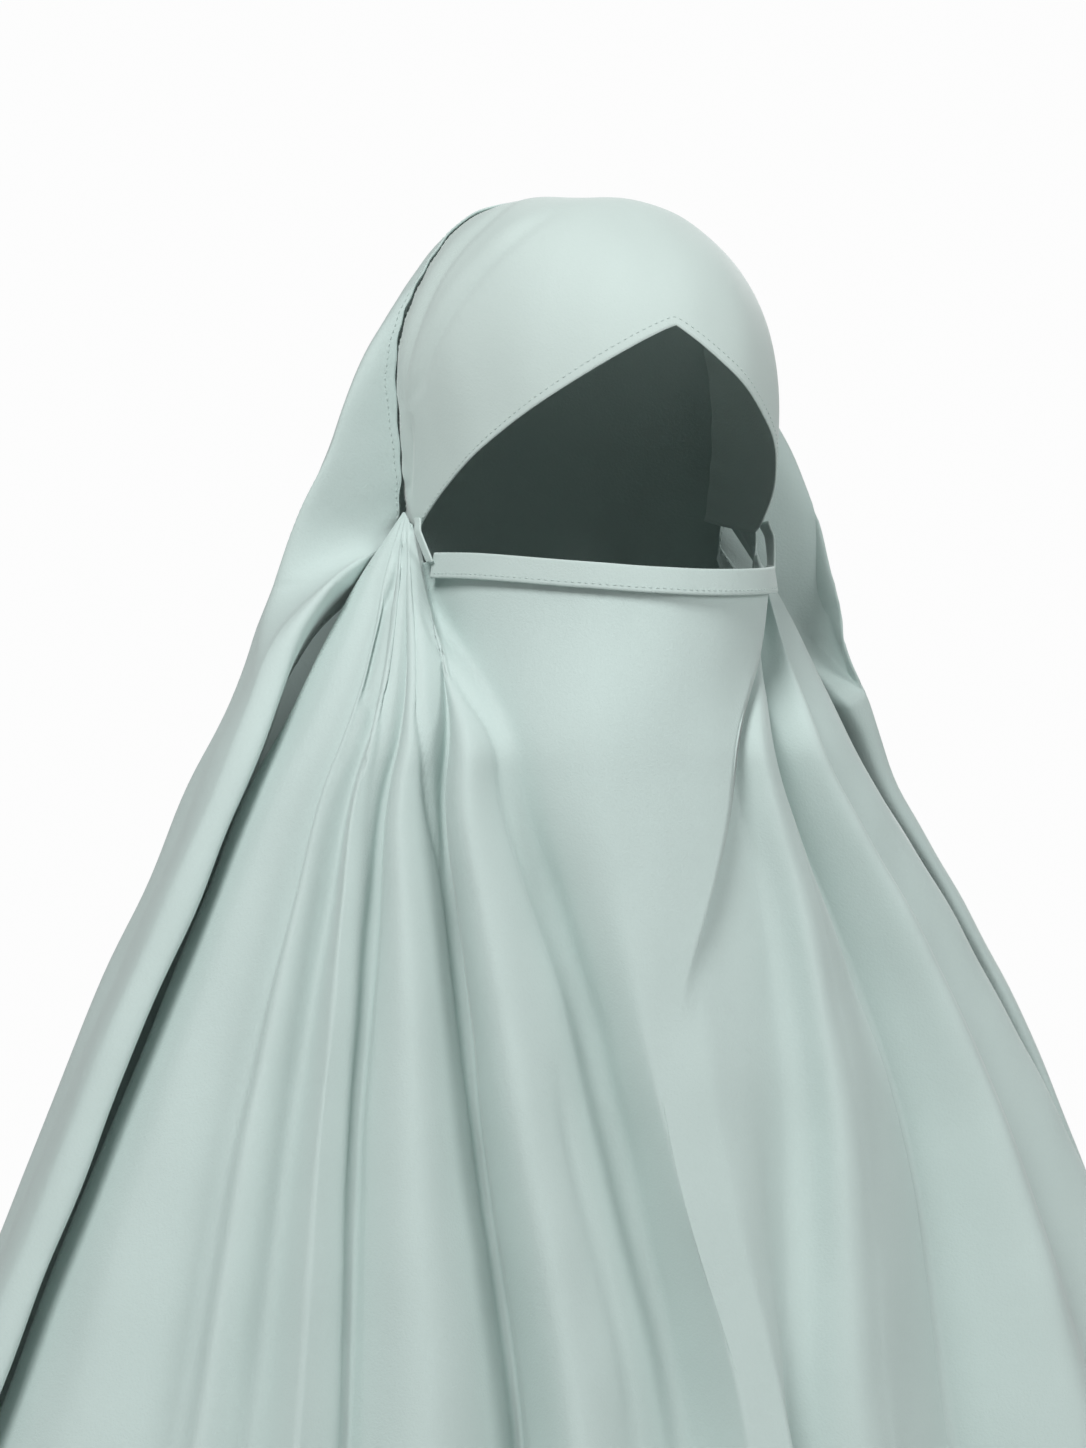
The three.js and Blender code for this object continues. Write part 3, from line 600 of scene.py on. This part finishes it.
def seam_press(place, away):
    """How far cloth near the seam is drawn in, given its distance from the seam."""
    dip = follow(SEAM_DIP["place"], SEAM_DIP["dip"], place)
    wave = np.sin(place * PUCKER_RATE + PUCKER_DRIFT * np.sin(place * DRIFT_RATE))
    pucker = PUCKER_DEPTH * wave * ease(np.abs(place) / FULL_TO) * (dip > 0)
    return dip * np.exp(-((away / DIP_REACH) ** 2)) + pucker * np.exp(-((away / PUCKER_REACH) ** 2))


print("the seam lies", round(float(seam_press(np.array(-80.0), 0.0)), 2), "mm deep on the right")

# %% [markdown]
# The outer veil starts at the seam over the crown, follows the hood for a while, and springs out
# into the tent. How soon it leaves the hood is one column of the table. Its front edges roll under,
# which gives the thick soft edge that frames the panel.

# %% Shape the outer veil
def seam_lift(place):
    full = np.where(place < 0, SEAM_FULL_RIGHT, SEAM_FULL_LEFT)
    rise = ease(np.abs(place) / FULL_FROM)
    return full * rise * (1 - ease((np.abs(place) - FULL_TO) / (SEAM_END - FULL_TO)))


def seam_ray(place, shift):
    turn = np.radians(place)
    return unit(points(HEAD_WIDTH / 2 * np.sin(turn), SEAM_BACK + shift, CROWN_RISE * np.cos(turn)))


def veil_layer(place, travelled):
    over = ease((np.abs(place) - VEIL_OVER_HOOD) / (SEAM_END - VEIL_OVER_HOOD))
    full = seam_lift(place) * (1 - ease((travelled - LIFT_START) / LIFT_REACH))
    fade = 1 - ease((np.abs(place) - CLOSE_END) / CLOSE_SPAN)
    close = SEAM_CLOSE * fade * np.exp(-((travelled / CLOSE_REACH) ** 2))
    return mix(MIDDLE, OUTER, over) + full - close - seam_press(place, travelled - SEAM_LAP / 2)


def veil_surface(index, part, cap_rows, fall_rows):
    """Cap rows run from the seam to the ring where cloth turns down, and fall rows on to the hem."""
    surface = read_lines(veil_lines, index, part, np.zeros(1))
    place = surface["top"] * SEAM_END
    ring_z = -surface["ring"] / NECK_DROP * NECK_FALL
    ring = head_at(bearing_at(surface, ring_z, VEIL_DROPS), ring_z, OUTER)
    seam = seam_ray(place, -SEAM_LAP / 2)
    sweep = np.arccos(np.clip(np.sum(seam * ray_to(ring), axis=-1), -1, 1))
    cap_length = sweep * CROWN_RISE

    travelled = cap_length * cap_rows**CAP_EASE
    cap_rays = swing(seam, ray_to(ring), np.broadcast_to(cap_rows**CAP_EASE, travelled.shape))
    cap = head_along(cap_rays, veil_layer(place, travelled))
    cap_bearing = np.degrees(np.arctan2(cap[..., 0] / HEAD_WIDTH, -cap[..., 1] / HEAD_DEPTH))

    z = mix(ring[..., 2], -VEIL_DROP, fall_rows**VEIL_EASE)
    fallen = cap_length + ring[..., 2] - z
    fall_bearing = bearing_at(surface, z, VEIL_DROPS)
    fall = head_at(fall_bearing, z, veil_layer(place, fallen))

    head = np.concatenate([cap, fall], axis=1)
    travelled = np.concatenate([travelled, fallen], axis=1)
    bearing = np.concatenate([cap_bearing, fall_bearing], axis=1)
    left_head = travelled / (surface["settle"] * CROWN_RISE)
    settled = mix(spring(left_head), ease(left_head), surface["late"])
    roll = ease((np.abs(surface["top"]) - ROLL_START) / ROLL_SPAN) * ROLL_INSET
    sink = fold_sink(surface, head[..., 2]) + roll * settled**2
    tent = tent_at("veil", bearing, head[..., 2], veil_layer(place, travelled), sink)
    return mix(head, tent, settled[..., None])


VEIL_FINER, VEIL_CAP_ROWS, VEIL_FALL_ROWS = 6, 44, 106
veil_columns = columns_between(veil_lines, VEIL_FINER)
veil_grid = veil_surface(
    *veil_columns,
    np.linspace(0, 1, VEIL_CAP_ROWS, endpoint=False),
    np.linspace(0, 1, VEIL_FALL_ROWS),
)
print("veil surface", veil_grid.shape[:2], "reaches down to", veil_grid[..., 2].min(), "mm")

# %% [markdown]
# The hood is one smooth cap. Each of its columns swings from the pointed edge over the opening to
# the seam over the crown, which keeps the cloth taut, with three shallow drag lines on the right.
# The band is a narrow strip under the opening, and a short tab joins each of its ends to the hood.

# %% Shape the hood, the band and the tabs
HOOD_FOLDS = {
    "upper": dict(
        at=[0.15, 0.2, 0.3, 0.36, 0.44],
        row=[0.64, 0.56, 0.53, 0.52, 0.56],
        depth=[0, 0.9, 1.1, 0.8, 0],
    ),
    "lower": dict(
        at=[0.13, 0.2, 0.3, 0.36, 0.44],
        row=[0.74, 0.7, 0.72, 0.71, 0.9],
        depth=[0, 0.9, 1.1, 0.7, 0],
    ),
    "by the seam": dict(at=[0.03, 0.06, 0.1, 0.15], row=[0.58, 0.59, 0.6, 0.63], depth=[0, 1.3, 1.4, 0]),
}
HOOD_FOLD_WIDTH, RIDGE_HEIGHT, RIDGE_WIDTH, RIDGE_PLACE = 4, 0.7, 1.5, 1.6
BAND_CLOSE, TAB_CLOSE, TAB_SPREAD_LEFT = 0.6, 1.3, 7
HOOD_COLUMNS, HOOD_ROWS, BAND_ROWS, TAB_COLUMNS, TAB_ROWS = 241, 121, 13, 7, 25


def tension(folds, share, rows, length):
    """Shallow drag lines, each a groove with a soft ridge beside it."""
    sink = 0
    for fold in folds.values():
        away = (rows - follow(fold["at"], fold["row"], share)) * length / HOOD_FOLD_WIDTH
        ridge = RIDGE_HEIGHT * np.exp(-((away / RIDGE_WIDTH - RIDGE_PLACE) ** 2))
        groove = np.exp(-(away**2)) - ridge
        sink = sink + follow(fold["at"], fold["depth"], share) * groove
    return sink


def across_face(share, short):
    """Bearings across the opening that stop short of its corners."""
    side = 2 * share - 1
    return side * (corner_of(side) - short)


def hood_surface(across_share, rows):
    bearing = across_face(across_share, 0)[:, None]
    turn = FACE_TURN * np.cos(np.radians(bearing))
    edge = ray_to(head_at(bearing + turn, face_edge_z(bearing), INNER))
    place = mix(-SEAM_END, SEAM_END, across_share)[:, None]
    back = seam_ray(place, SEAM_LAP / 2)
    rows = np.broadcast_to(rows, (len(across_share), len(rows)))
    length = np.arccos(np.clip(np.sum(edge * back, axis=-1), -1, 1)) * CROWN_RISE
    away = (1 - rows) * length - SEAM_LAP / 2
    drag = tension(HOOD_FOLDS, across_share[:, None], rows, length)
    layer = INNER + seam_lift(place) * ease(rows) - seam_press(place, away)
    return head_along(swing(edge, back, rows), layer - drag)


def band_surface(across_share, rows):
    bearing = across_face(across_share, BAND_SHORT)[:, None]
    z = band_top_z(bearing) - rows[None, :] * BAND_HEIGHT
    return head_at(bearing, z, MIDDLE - BAND_CLOSE + rows[None, :] * BAND_FLARE)


def tab_surface(side, across_share, rows):
    corner = corner_of(side)
    low = band_top_z(side * (corner - BAND_SHORT)) - TAB_WIDTH
    high = TAB_WIDTH - CORNER_FALL
    middle = side * (corner - mix(TAB_SHORT, BAND_SHORT, rows))[None, :]
    spread = TAB_SPREAD if side < 0 else TAB_SPREAD_LEFT
    bearing = middle + mix(-spread, spread, across_share)[:, None] / 2
    layer = mix(OUTER + TAB_LIFT - TAB_CLOSE, MIDDLE, ease((1 - rows) * TAB_RAMP - TAB_RAMP + 1))
    return head_at(bearing, mix(high, low, rows)[None, :] + 0 * bearing, layer[None, :])


hood_across = np.linspace(0, 1, HOOD_COLUMNS)
hood_grid = hood_surface(hood_across, np.linspace(0, 1, HOOD_ROWS))
band_grid = band_surface(hood_across, np.linspace(0, 1, BAND_ROWS))
tab_shares = np.linspace(0, 1, TAB_COLUMNS), np.linspace(0, 1, TAB_ROWS)
SIDES = (("right", -1), ("left", 1))
tab_grids = {name: tab_surface(side, *tab_shares) for name, side in SIDES}
print("hood surface", hood_grid.shape[:2], "and band surface", band_grid.shape[:2])

# %% [markdown]
# Crepe is never quite smooth: it keeps faint, soft creases from being folded away. They are a sum of
# long waves in space with a fixed seed. Because the waves belong to space and not to a piece, two
# cloths that lie close together rise and sink together and stay clear of each other.

# %% Crumple the cloth a little
CRUMPLE_WAVES, CRUMPLE_HEIGHT, CRUMPLE_LENGTHS, CRUMPLE_SEED = 14, 0.11, (24, 75), 7
WAVE_LEAN = np.array([1, 1, 0.55])
luck = np.random.default_rng(CRUMPLE_SEED)
wave_ways = unit(luck.normal(size=(CRUMPLE_WAVES, 3)) * WAVE_LEAN)
wave_rates = 2 * np.pi / luck.uniform(*CRUMPLE_LENGTHS, size=CRUMPLE_WAVES)
wave_starts = luck.uniform(0, 2 * np.pi, size=CRUMPLE_WAVES)


def crumple(grid):
    """A faint rise or sink of the cloth at each point, in millimetres."""
    waves = np.sin((grid @ wave_ways.T) * wave_rates + wave_starts)
    return CRUMPLE_HEIGHT * waves.sum(axis=-1)


print("the cloth moves by up to", round(float(np.abs(crumple(veil_grid)).max()), 2), "mm")

# %% [markdown]
# A surface is not yet cloth: it needs two faces, a small distance apart, and a soft edge all round.
# Blender's Solidify would do it too, but cloth that is this close to other cloth is safer when both
# of its faces are placed one by one. One more row of points round the rim, pushed outwards, makes the
# edge look turned instead of cut.

# %% Turn surfaces into cloth
RIM_ROUND, HEM_COLUMNS = 0.3, 5


def rim_loop(columns, rows):
    """The grid places round the rim, in order, as column and row numbers."""
    down = [(0, j) for j in range(rows)]
    along = [(i, rows - 1) for i in range(1, columns)]
    up = [(columns - 1, j) for j in range(rows - 2, -1, -1)]
    back = [(i, 0) for i in range(columns - 2, 0, -1)]
    return np.array(down + along + up + back)


def sheet_mesh(name, grid, facing, hem_rows=0):
    """One closed sheet; facing is 1 where the grid's normals point out of the garment."""
    columns, rows = grid.shape[:2]
    normals = grid_normals(grid) * facing
    grid = grid + normals * crumple(grid)[..., None]
    thickness = np.full(rows, CREPE_THICK)
    thickness[rows - hem_rows :] = HEM_THICK
    half = thickness[None, :, None] / 2
    outer = grid + normals * half
    inner = grid - normals * half
    loop = rim_loop(columns, rows)
    inward = grid[np.clip(loop[:, 0], 1, columns - 2), np.clip(loop[:, 1], 1, rows - 2)]
    here = grid[loop[:, 0], loop[:, 1]]
    rim = here + unit(here - inward) * CREPE_THICK * RIM_ROUND
    size = columns * rows
    number = np.arange(size).reshape(columns, rows)
    quad = [number[:-1, :-1], number[1:, :-1], number[1:, 1:], number[:-1, 1:]]
    outside = np.stack(quad, axis=-1).reshape(-1, 4)
    edge = number[loop[:, 0], loop[:, 1]]
    edge_next = np.roll(edge, -1)
    middle = 2 * size + np.arange(len(edge))
    middle_next = np.roll(middle, -1)
    upper = np.stack([edge, edge_next, middle_next, middle], axis=-1)
    lower = np.stack([middle, middle_next, edge_next + size, edge + size], axis=-1)
    faces = np.concatenate([outside, outside[:, ::-1] + size, upper, lower])
    if facing < 0:
        faces = faces[:, ::-1]
    verts = np.concatenate([outer.reshape(-1, 3), inner.reshape(-1, 3), rim]) * MM
    mesh = bpy.data.meshes.new(name)
    mesh.from_pydata(verts.tolist(), [], faces.tolist())
    mesh.shade_smooth()
    piece = bpy.data.objects.new(name, mesh)
    bpy.context.scene.collection.objects.link(piece)
    return piece


def strip_from(grid, side):
    """The narrow hem strip that lies under one free edge of the panel."""
    share = np.linspace(0, 1, HEM_COLUMNS)[:, None, None]
    edge, beside = (grid[0], grid[1]) if side < 0 else (grid[-1], grid[-2])
    inward = unit(beside - edge)[None, :, :]
    return edge[None, :, :] + inward * share * HEM_STRIP


panel_in = grid_normals(panel_grid)
HEM_START = 10
hem_grids = {}
for name, side, normals in (("right", -1, panel_in[0]), ("left", 1, panel_in[-1])):
    strip = strip_from(panel_grid, side) + normals[None, :, :] * (CLOTH + LAYER_GAP)
    hem_grids[name] = strip[:, HEM_START:]

BOTTOM_HEM_ROWS = 3
hood = sheet_mesh("hood_cloth", hood_grid, 1)
band = sheet_mesh("band_cloth", band_grid, -1)
panel = sheet_mesh("panel_cloth", panel_grid, -1, BOTTOM_HEM_ROWS)
veil = sheet_mesh("veil_cloth", veil_grid, 1, BOTTOM_HEM_ROWS)
tabs = {name: sheet_mesh("tab_" + name, grid, -1) for name, grid in tab_grids.items()}
hems = {name: sheet_mesh("hem_" + name, grid, -1) for name, grid in hem_grids.items()}
for piece in (hood, band, panel, veil, *tabs.values(), *hems.values()):
    print(piece.name, 2 * len(piece.data.polygons), "triangles")

# %% [markdown]
# Rows of small stitches hold the seam, the band and every turned edge. A bump could only hint at
# them, so each stitch is a tiny spindle of thread that lies along its row. One mesh holds a whole
# row, and the row follows the cloth that it is sewn through, at a fixed distance from the edge.

# %% Sew the stitches
STITCH_PITCH, STITCH_LENGTH, STITCH_THICK, STITCH_LIFT = 3, 2.1, 0.5, 0.1
SPINDLE_TAPER, SPINDLE_SIDES = 0.3, 4
SPINDLE_POINTS = 2 * SPINDLE_SIDES + 2
SPINDLE = []
for here in range(1, SPINDLE_SIDES + 1):
    after = here % SPINDLE_SIDES + 1
    far_here, far_after = here + SPINDLE_SIDES, after + SPINDLE_SIDES
    SPINDLE += [(0, here, after), (here, far_here, far_after, after)]
    SPINDLE.append((SPINDLE_POINTS - 1, far_after, far_here))


def inset(values, grid, side, distance):
    """Values read down a cloth at a distance in from one of its free edges."""
    order = slice(None) if side < 0 else slice(None, None, -1)
    walk, turned = walk_across(grid[order]), values[order]
    rows = range(grid.shape[1])
    line = [[np.interp(distance, walk[:, j], turned[:, j, k]) for k in range(3)] for j in rows]
    return np.array(line)


def sew(name, path, normals):
    """Spindles of thread, one after another, on the outer face of a cloth."""
    path = path + normals * (crumple(path)[:, None] + CREPE_THICK / 2 + STITCH_LIFT)
    length = np.concatenate([[0], np.linalg.norm(np.diff(path, axis=0), axis=1).cumsum()])
    middle = (np.arange(int(length[-1] / STITCH_PITCH)) + 0.5) * STITCH_PITCH

    def along(values, place):
        return np.stack([np.interp(place, length, values[:, k]) for k in range(3)], axis=-1)

    start, end = along(path, middle - STITCH_LENGTH / 2), along(path, middle + STITCH_LENGTH / 2)
    up = unit(along(normals, middle)) * STITCH_THICK / 2
    side = unit(np.cross(end - start, up)) * STITCH_THICK / 2
    first, second = mix(start, end, SPINDLE_TAPER), mix(start, end, 1 - SPINDLE_TAPER)
    rings = [centre + way for centre in (first, second) for way in (side, up, -side, -up)]
    verts = np.stack([start - up, *rings, end - up], axis=1).reshape(-1, 3) * MM
    faces = [[n * SPINDLE_POINTS + k for k in face] for n in range(len(middle)) for face in SPINDLE]
    mesh = bpy.data.meshes.new(name)
    mesh.from_pydata(verts.tolist(), [], faces)
    mesh.shade_smooth()
    row = bpy.data.objects.new(name, mesh)
    bpy.context.scene.collection.objects.link(row)
    return row


print(len(SPINDLE), "faces in each stitch")

# %% [markdown]
# Each row of stitches keeps a fixed distance from the edge or seam that it holds. Rows across the
# cloth follow one row of its surface, and rows down a free edge are measured in from that edge.

# %% Place the rows of stitches
EDGE_INSET, VEIL_INSET, VEIL_START, EDGE_END, BAND_END = 3.2, 6, 4, -2, 2
HOOD_EDGE_ROW, HOOD_SEAM_ROW, BAND_ROW, VEIL_SEAM_ROW, BOTTOM_ROW = 3, -8, -3, 3, -4
hood_out, band_out = grid_normals(hood_grid), -grid_normals(band_grid)
panel_out, veil_out = -grid_normals(panel_grid), grid_normals(veil_grid)


def across_row(name, grid, out, row, ends=0):
    """Stitches along one row of a surface, short of its ends by some columns."""
    columns = slice(ends, len(grid) - ends)
    return sew(name, grid[columns, row], out[columns, row])


def edge_row(name, grid, out, side, distance, start):
    """Stitches down one free edge of a cloth."""
    line, normals = (inset(values, grid, side, distance) for values in (grid, out))
    return sew(name, line[start:EDGE_END], normals[start:EDGE_END])


hood_rows_of_thread = [
    across_row("stitches_hood_edge", hood_grid, hood_out, HOOD_EDGE_ROW),
    across_row("stitches_hood_seam", hood_grid, hood_out, HOOD_SEAM_ROW),
]
band_rows_of_thread = [across_row("stitches_band", band_grid, band_out, BAND_ROW, BAND_END)]
veil_rows_of_thread = [
    across_row("stitches_veil_seam", veil_grid, veil_out, VEIL_SEAM_ROW),
    across_row("stitches_veil_hem", veil_grid, veil_out, BOTTOM_ROW),
]
panel_rows_of_thread = [across_row("stitches_panel_hem", panel_grid, panel_out, BOTTOM_ROW)]
for name, side in SIDES:
    panel_rows_of_thread.append(
        edge_row("stitches_panel_" + name, panel_grid, panel_out, side, EDGE_INSET, HEM_START)
    )
    veil_rows_of_thread.append(
        edge_row("stitches_veil_" + name, veil_grid, veil_out, side, VEIL_INSET, VEIL_START)
    )
all_rows = [*hood_rows_of_thread, *band_rows_of_thread, *panel_rows_of_thread, *veil_rows_of_thread]
for row in all_rows:
    print(row.name, len(row.data.vertices) // SPINDLE_POINTS, "stitches")

# %% [markdown]
# The cloth is crepe: matt, a little pebbly, with a faint bloom where it turns away. The finish has a
# base colour that drifts slightly, a fine random bump for the crepe's pebbles and a finer one for
# its threads. Shader maths is written as plain expressions through a small class, because a row of
# Math nodes is hard to read when it is wired by hand.

# %% Write shader maths as expressions
class Socket:
    """One value in a material, on which plain arithmetic adds Math nodes."""

    def __init__(self, finish, link):
        self.finish, self.link = finish, link

    def _math(self, operation, first, second):
        return self.finish.node("Math", {"operation": operation}, {0: first, 1: second})

    def __add__(self, other):
        return self._math("ADD", self, other)

    def __radd__(self, other):
        return self._math("ADD", other, self)

    def __sub__(self, other):
        return self._math("SUBTRACT", self, other)

    def __rsub__(self, other):
        return self._math("SUBTRACT", other, self)

    def __mul__(self, other):
        return self._math("MULTIPLY", self, other)

    def __rmul__(self, other):
        return self._math("MULTIPLY", other, self)


class Finish:
    """A material and the one method that adds a node to it."""

    def __init__(self, name):
        self.material = bpy.data.materials.new(name)
        self.material.use_nodes = True
        self.tree = self.material.node_tree
        self.shader = self.tree.nodes["Principled BSDF"]

    def node(self, kind, settings=None, inputs=None, output=0):
        """Adds a node of a type, sets it up, fills its sockets, and returns one of its outputs."""
        made = self.tree.nodes.new("ShaderNode" + kind)
        for name, value in (settings or {}).items():
            setattr(made, name, value)
        for name, value in (inputs or {}).items():
            self.fill(made.inputs[name], value)
        return Socket(self, made.outputs[output])

    def fill(self, socket, value):
        if isinstance(value, Socket):
            self.tree.links.new(value.link, socket)
        else:
            socket.default_value = value

    def set(self, **inputs):
        for name, value in inputs.items():
            self.fill(self.shader.inputs[name.replace("_", " ")], value)


print("shader maths is ready")

# %% [markdown]
# All the pieces are cut from one bolt, so they share one recipe. Only the size of the drift and the
# shade differ from piece to piece: the hood is pulled tight and looks smoother and paler.

# %% Mix the crepe
def crepe(name, light, dark, pebble=0.45):
    finish = Finish(name)
    place = finish.node("TexCoord", output=3)
    drift = finish.node("TexNoise", inputs={"Vector": place, "Scale": 5.0, "Detail": 3.0})
    grain = finish.node("TexNoise", inputs={"Vector": place, "Scale": 900.0, "Detail": 2.0})
    thread = finish.node("TexNoise", inputs={"Vector": place, "Scale": 2600.0, "Detail": 1.0})
    shade = drift * 0.65 + grain * 0.35
    colour = finish.node(
        "Mix", {"data_type": "RGBA"}, {"Factor": shade, 6: (*dark, 1), 7: (*light, 1)}, output=2
    )
    height = grain * 0.7 + thread * 0.3
    bump = finish.node("Bump", inputs={"Height": height, "Strength": pebble, "Distance": 0.0004})
    finish.set(Base_Color=colour, Roughness=drift * 0.08 + 0.7, Normal=bump)
    finish.set(Sheen_Weight=0.25, Sheen_Roughness=0.4, Specular_IOR_Level=0.3)
    return finish.material


HOOD_LIGHT, HOOD_DARK = (0.55, 0.645, 0.618), (0.51, 0.605, 0.578)
VEIL_LIGHT, VEIL_DARK = (0.55, 0.655, 0.632), (0.48, 0.585, 0.562)
finishes = {
    "crepe_hood": crepe("crepe_hood", HOOD_LIGHT, HOOD_DARK, pebble=0.35),
    "crepe_trim": crepe("crepe_trim", HOOD_LIGHT, VEIL_DARK, pebble=0.5),
    "crepe_panel": crepe("crepe_panel", VEIL_LIGHT, VEIL_DARK),
    "crepe_veil": crepe("crepe_veil", VEIL_LIGHT, VEIL_DARK),
}
print(len(finishes), "finishes")

# %% [markdown]
# Now every piece is tied to the frame. It rides on the part's one body, hides the solid that it
# replaces and is given the finish of its slot.

# %% Tie the pieces to the frame
def dress(piece, node, slot):
    piece.data.materials.append(finishes[slot])
    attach(piece, "root")
    if node:
        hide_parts(node)


dress(hood, "hood_panel", "crepe_hood")
dress(band, "nose_band", "crepe_trim")
dress(panel, "front_panel", "crepe_panel")
dress(veil, "outer_veil", "crepe_veil")
for name in ("right", "left"):
    dress(tabs[name], "side_tab_" + name, "crepe_trim")
    dress(hems[name], "side_hem_" + name, "crepe_trim")
for row in all_rows:
    dress(row, None, "crepe_trim")
